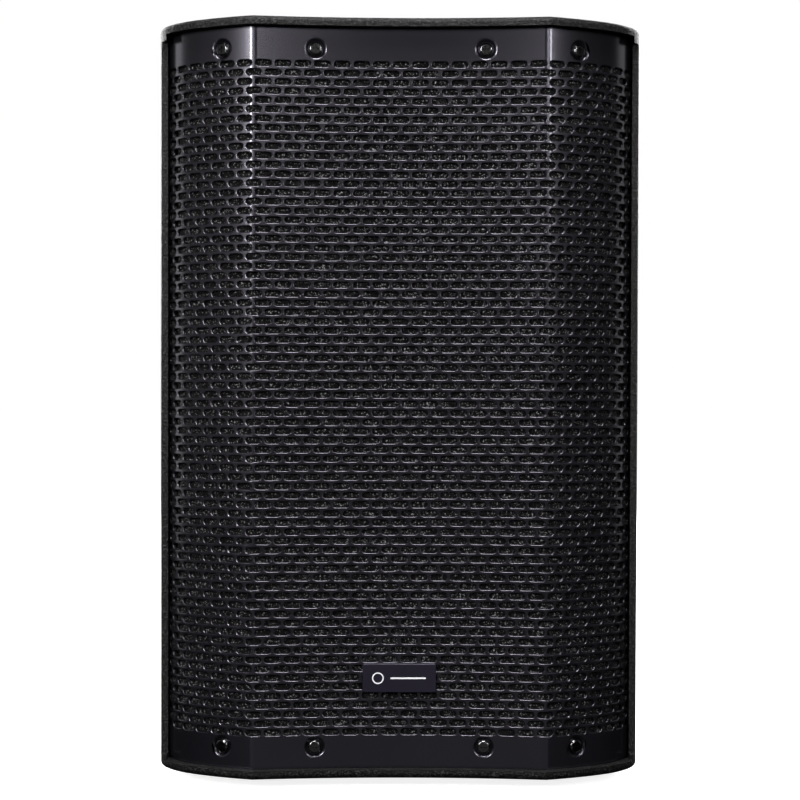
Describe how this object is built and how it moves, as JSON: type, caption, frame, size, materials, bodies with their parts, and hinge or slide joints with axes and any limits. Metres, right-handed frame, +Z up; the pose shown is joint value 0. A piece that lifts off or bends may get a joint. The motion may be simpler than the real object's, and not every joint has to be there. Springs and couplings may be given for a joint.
{
  "type": "pa speaker cabinet",
  "caption": "Tall black loudspeaker cabinet with a folded, slotted steel grille over a woofer and a horn, a pole socket, side handles and a powered rear panel.",
  "frame": {"origin": "on the floor under the middle of the cabinet's bounding box", "axes": "+X to the right seen from the front, +Y from the grille to the back, +Z up"},
  "size_m": [0.3898, 0.35, 0.608],
  "materials": {
    "textured_paint": "speckled sprayed coating on birch plywood",
    "plywood": "bare birch plywood",
    "grille_coat": "semi-gloss powder coat on perforated steel",
    "foam": "open-cell acoustic foam",
    "black_zinc": "black zinc",
    "bright_steel": "zinc-plated steel",
    "gloss_black": "gloss",
    "cast_aluminium": "black-coated cast aluminium",
    "rubber": "matt rubber",
    "paper_cone": "doped paper and treated cloth",
    "copper_winding": "enamelled copper wire on its former",
    "ferrite": "sintered ferrite",
    "moulded_black": "fine moulded texture",
    "titanium_foil": "bare foil",
    "coated_steel": "fine texture powder coat",
    "zinc_steel": "zinc-plated sheet",
    "black_aluminium": "black anodised",
    "circuit_board": "solder mask",
    "knob_plastic": "soft-touch",
    "button_plastic": "satin grey",
    "led_lens": "clear lens",
    "lead_sheath": "PVC"
  },
  "bodies": {
    "cabinet": {"top_panel": "textured_paint", "bottom_panel": "textured_paint", "left_side_panel": "textured_paint", "right_side_panel": "textured_paint", "back_panel": "textured_paint", "front_baffle": "textured_paint", "grille_battens": "textured_paint", "cross_brace": "plywood", "front_grille": "grille_coat", "grille_foam": "foam", "damping_wadding": "foam", "grille_screws": "black_zinc", "woofer_screws": "black_zinc", "panel_screws": "black_zinc", "grille_inserts": "bright_steel", "woofer_top_plate": "bright_steel", "woofer_yoke": "bright_steel", "driver_yoke": "bright_steel", "driver_top_plate": "bright_steel", "contact_pins": "bright_steel", "badge": "gloss_black", "woofer_basket": "cast_aluminium", "woofer_surround": "rubber", "woofer_gasket": "rubber", "rubber_feet": "rubber", "woofer_spider": "paper_cone", "woofer_magnet": "ferrite", "driver_magnet": "ferrite", "horn_flare": "moulded_black", "driver_rear_cap": "moulded_black", "port_tubes": "moulded_black", "terminal_blocks": "moulded_black", "handle_dishes": "moulded_black", "input_sockets": "moulded_black", "link_socket": "moulded_black", "mains_inlet": "moulded_black", "switch_housing": "moulded_black", "power_components": "moulded_black", "control_components": "moulded_black", "handle_grips": "coated_steel", "amp_panel": "coated_steel", "pole_socket": "coated_steel", "amp_enclosure": "zinc_steel", "heat_sink": "black_aluminium", "circuit_boards": "circuit_board", "indicator_leds": "led_lens", "speaker_leads": "lead_sheath"},
    "woofer_motion": {"woofer_cone": "paper_cone", "woofer_dust_cap": "paper_cone", "voice_coil": "copper_winding"},
    "hf_motion": {"hf_diaphragm": "titanium_foil"},
    "fuse_tray": {"fuse_drawer": "moulded_black", "fuse": "bright_steel"},
    "rocker": {"switch_rocker": "gloss_black"},
    "knob_1": {"level_knob_1": "knob_plastic"},
    "knob_2": {"level_knob_2": "knob_plastic"},
    "knob_3": {"level_knob_3": "knob_plastic"},
    "knob_4": {"level_knob_4": "knob_plastic"},
    "button_1": {"select_button_1": "button_plastic"},
    "button_2": {"select_button_2": "button_plastic"}
  },
  "joints": [
    {"name": "woofer_excursion", "type": "slide", "parent": "cabinet", "child": "woofer_motion", "axis": [0, -1, 0], "range_m": [-0.006, 0.006], "stiffness_N_per_m": 2500, "deforming": ["woofer_surround", "woofer_spider"]},
    {"name": "diaphragm_excursion", "type": "slide", "parent": "cabinet", "child": "hf_motion", "axis": [0, -1, 0], "range_m": [-0.0004, 0.0004], "stiffness_N_per_m": 2000},
    {"name": "level_knob_1_turn", "type": "hinge", "parent": "cabinet", "child": "knob_1", "pos_m": [-0.06, 0.16, 0.4], "axis": [0, 1, 0], "range_deg": [-140, 140]},
    {"name": "level_knob_2_turn", "type": "hinge", "parent": "cabinet", "child": "knob_2", "pos_m": [-0.02, 0.16, 0.4], "axis": [0, 1, 0], "range_deg": [-140, 140]},
    {"name": "level_knob_3_turn", "type": "hinge", "parent": "cabinet", "child": "knob_3", "pos_m": [0.02, 0.16, 0.4], "axis": [0, 1, 0], "range_deg": [-140, 140]},
    {"name": "level_knob_4_turn", "type": "hinge", "parent": "cabinet", "child": "knob_4", "pos_m": [0.06, 0.16, 0.4], "axis": [0, 1, 0], "range_deg": [-140, 140]},
    {"name": "select_button_1_press", "type": "slide", "parent": "cabinet", "child": "button_1", "axis": [0, -1, 0], "range_m": [0, 0.002], "stiffness_N_per_m": 500},
    {"name": "select_button_2_press", "type": "slide", "parent": "cabinet", "child": "button_2", "axis": [0, -1, 0], "range_m": [0, 0.002], "stiffness_N_per_m": 500},
    {"name": "power_switch_rock", "type": "hinge", "parent": "cabinet", "child": "rocker", "pos_m": [0.05, 0.15, 0.19], "axis": [1, 0, 0], "range_deg": [-16, 0]},
    {"name": "fuse_drawer_slide", "type": "slide", "parent": "cabinet", "child": "fuse_tray", "axis": [0, 1, 0], "range_m": [0, 0.018]}
  ]
}
